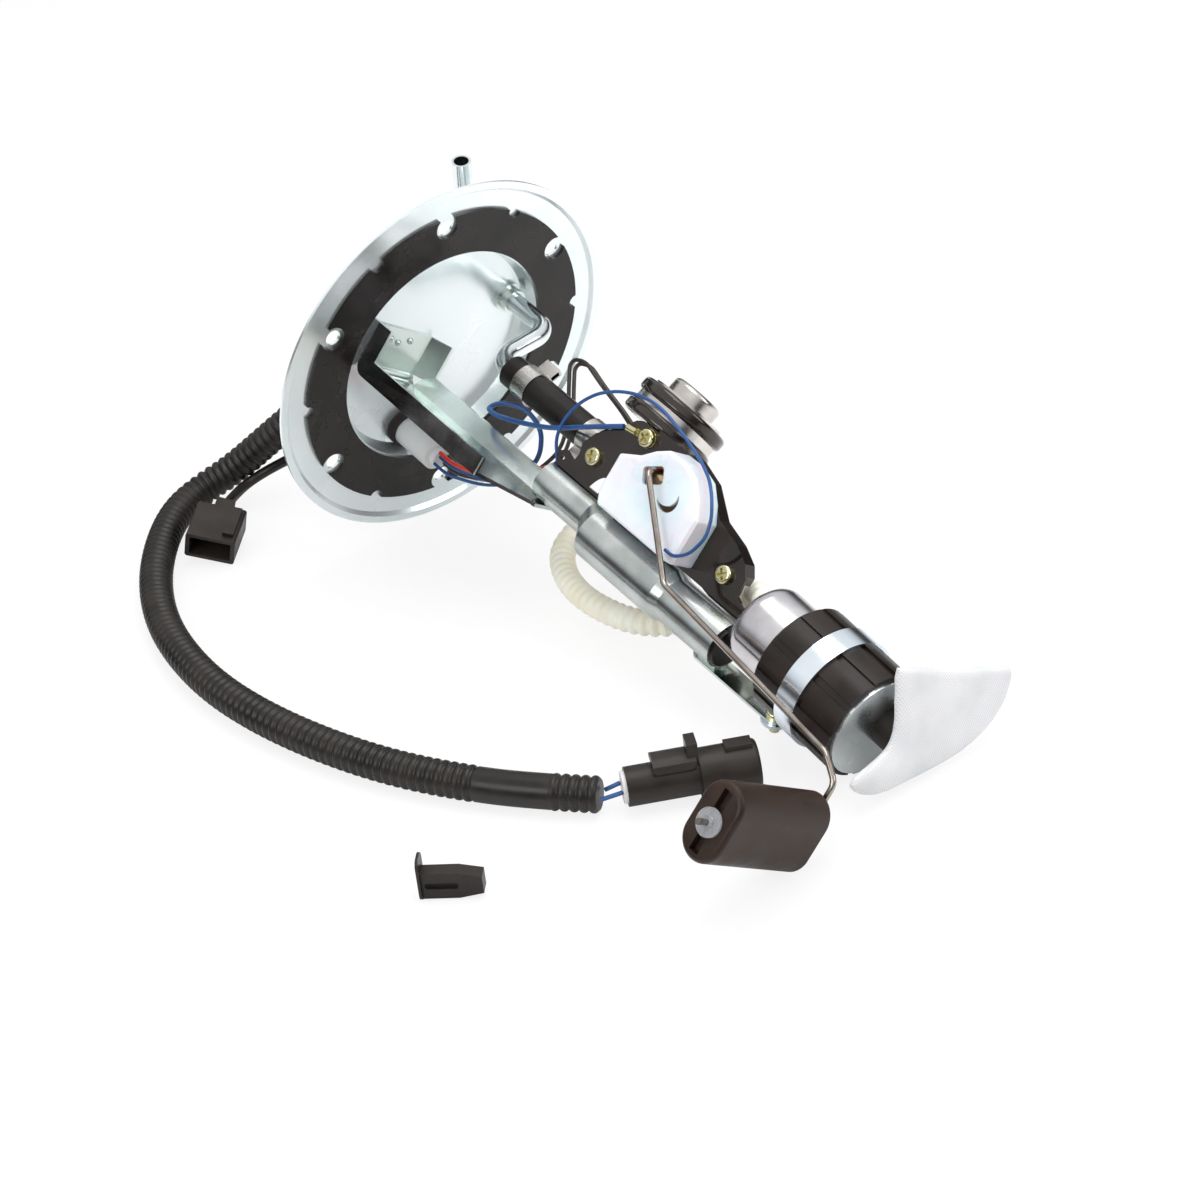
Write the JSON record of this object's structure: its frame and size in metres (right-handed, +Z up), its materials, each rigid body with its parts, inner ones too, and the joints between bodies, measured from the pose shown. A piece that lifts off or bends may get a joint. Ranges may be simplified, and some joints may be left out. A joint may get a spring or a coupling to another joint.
{
  "type": "fuel pump module",
  "caption": "In-tank fuel pump module with a round mounting flange, hanger bracket, electric pump, strainer, level sender with float lever, regulator, wiring loom and loose clip.",
  "frame": {"origin": "centre of the footprint of the module and the loose clip, without the two cords, on the table's surface", "axes": "+Z up from the table; +X from the flange towards the pump and strainer; the module lies on its flange's rim, the pump's sleeve, the strainer's edge and the float"},
  "size_m": [0.4051, 0.2508, 0.1559],
  "materials": {
    "zinc_plate": "zinc plated",
    "bright_tube": "bright",
    "gasket_rubber": "matt",
    "black_rubber": "matt",
    "yellow_zinc": "yellow zinc",
    "dark_plate": "gloss",
    "brass_part": "bright",
    "milky_plastic": "milky",
    "dark_plastic": "satin",
    "wire_steel": "bright",
    "float_foam": "satin",
    "mesh_fabric": "fine mesh",
    "cream_nylon": "satin",
    "blue_wire": "satin",
    "dark_wire": "satin",
    "red_wire": "satin",
    "dark_magnet": "matt",
    "cast_metal": "cast",
    "grey_plastic": "satin",
    "seal_rubber": "matt",
    "loom_plastic": "satin"
  },
  "bodies": {
    "module": {"mounting_flange": "zinc_plate", "hanger_bracket": "zinc_plate", "lower_tube": "bright_tube", "pump_tongue": "bright_tube", "flange_gasket": "gasket_rubber", "outlet_pipe": "bright_tube", "pipe_collar": "zinc_plate", "fuel_hose": "black_rubber", "hose_clamp_upper": "zinc_plate", "hose_clamp_lower": "zinc_plate", "strap_screw": "yellow_zinc", "pump_strap": "zinc_plate", "outlet_boot": "black_rubber", "sender_plate": "dark_plate", "sender_screws": "yellow_zinc", "ring_terminal": "brass_part", "sender_housing": "milky_plastic", "resistor_card": "dark_plastic", "strainer_sock": "mesh_fabric", "strainer_frame": "dark_plastic", "regulator_body": "zinc_plate", "regulator_cap": "zinc_plate", "regulator_upper_disc": "zinc_plate", "regulator_ring": "yellow_zinc", "regulator_diaphragm": "black_rubber", "gland_ring": "dark_plastic", "pass_through_connector": "dark_plastic", "cable_boot": "black_rubber", "return_hose": "cream_nylon", "ground_wire": "blue_wire", "sender_wire": "blue_wire", "dark_wires": "dark_wire", "red_wire": "red_wire", "pump_can": "bright_tube", "pump_outlet_cap": "dark_plastic", "pump_magnets": "dark_magnet", "pump_bearing_plate": "cast_metal", "pump_inlet_body": "cast_metal", "pump_sleeve": "black_rubber", "pump_brushes": "dark_magnet", "main_connector": "grey_plastic", "connector_seal": "seal_rubber", "connector_pins": "brass_part", "connector_wires": "blue_wire", "small_connector": "grey_plastic", "small_connector_pins": "brass_part", "push_in_clip": "dark_plastic", "loom": "loom_plastic", "small_lead": "dark_wire"},
    "float_lever": {"float_arm": "wire_steel", "float": "float_foam", "float_retainer": "milky_plastic", "wiper": "brass_part"},
    "pump_rotor": {"pump_armature": "wire_steel", "pump_impeller": "dark_plastic"}
  },
  "joints": [
    {"name": "float_swing", "type": "hinge", "parent": "module", "child": "float_lever", "pos_m": [0.01044, 0.03693, 0.08336], "axis": [0.1337, -0.8161, 0.5622], "range_deg": [-3, 80]},
    {"name": "rotor_spin", "type": "hinge", "parent": "module", "child": "pump_rotor", "pos_m": [0.1304, 0.03829, 0.0216], "axis": [0.9641, -0.0242, -0.2643], "continuous": true}
  ]
}
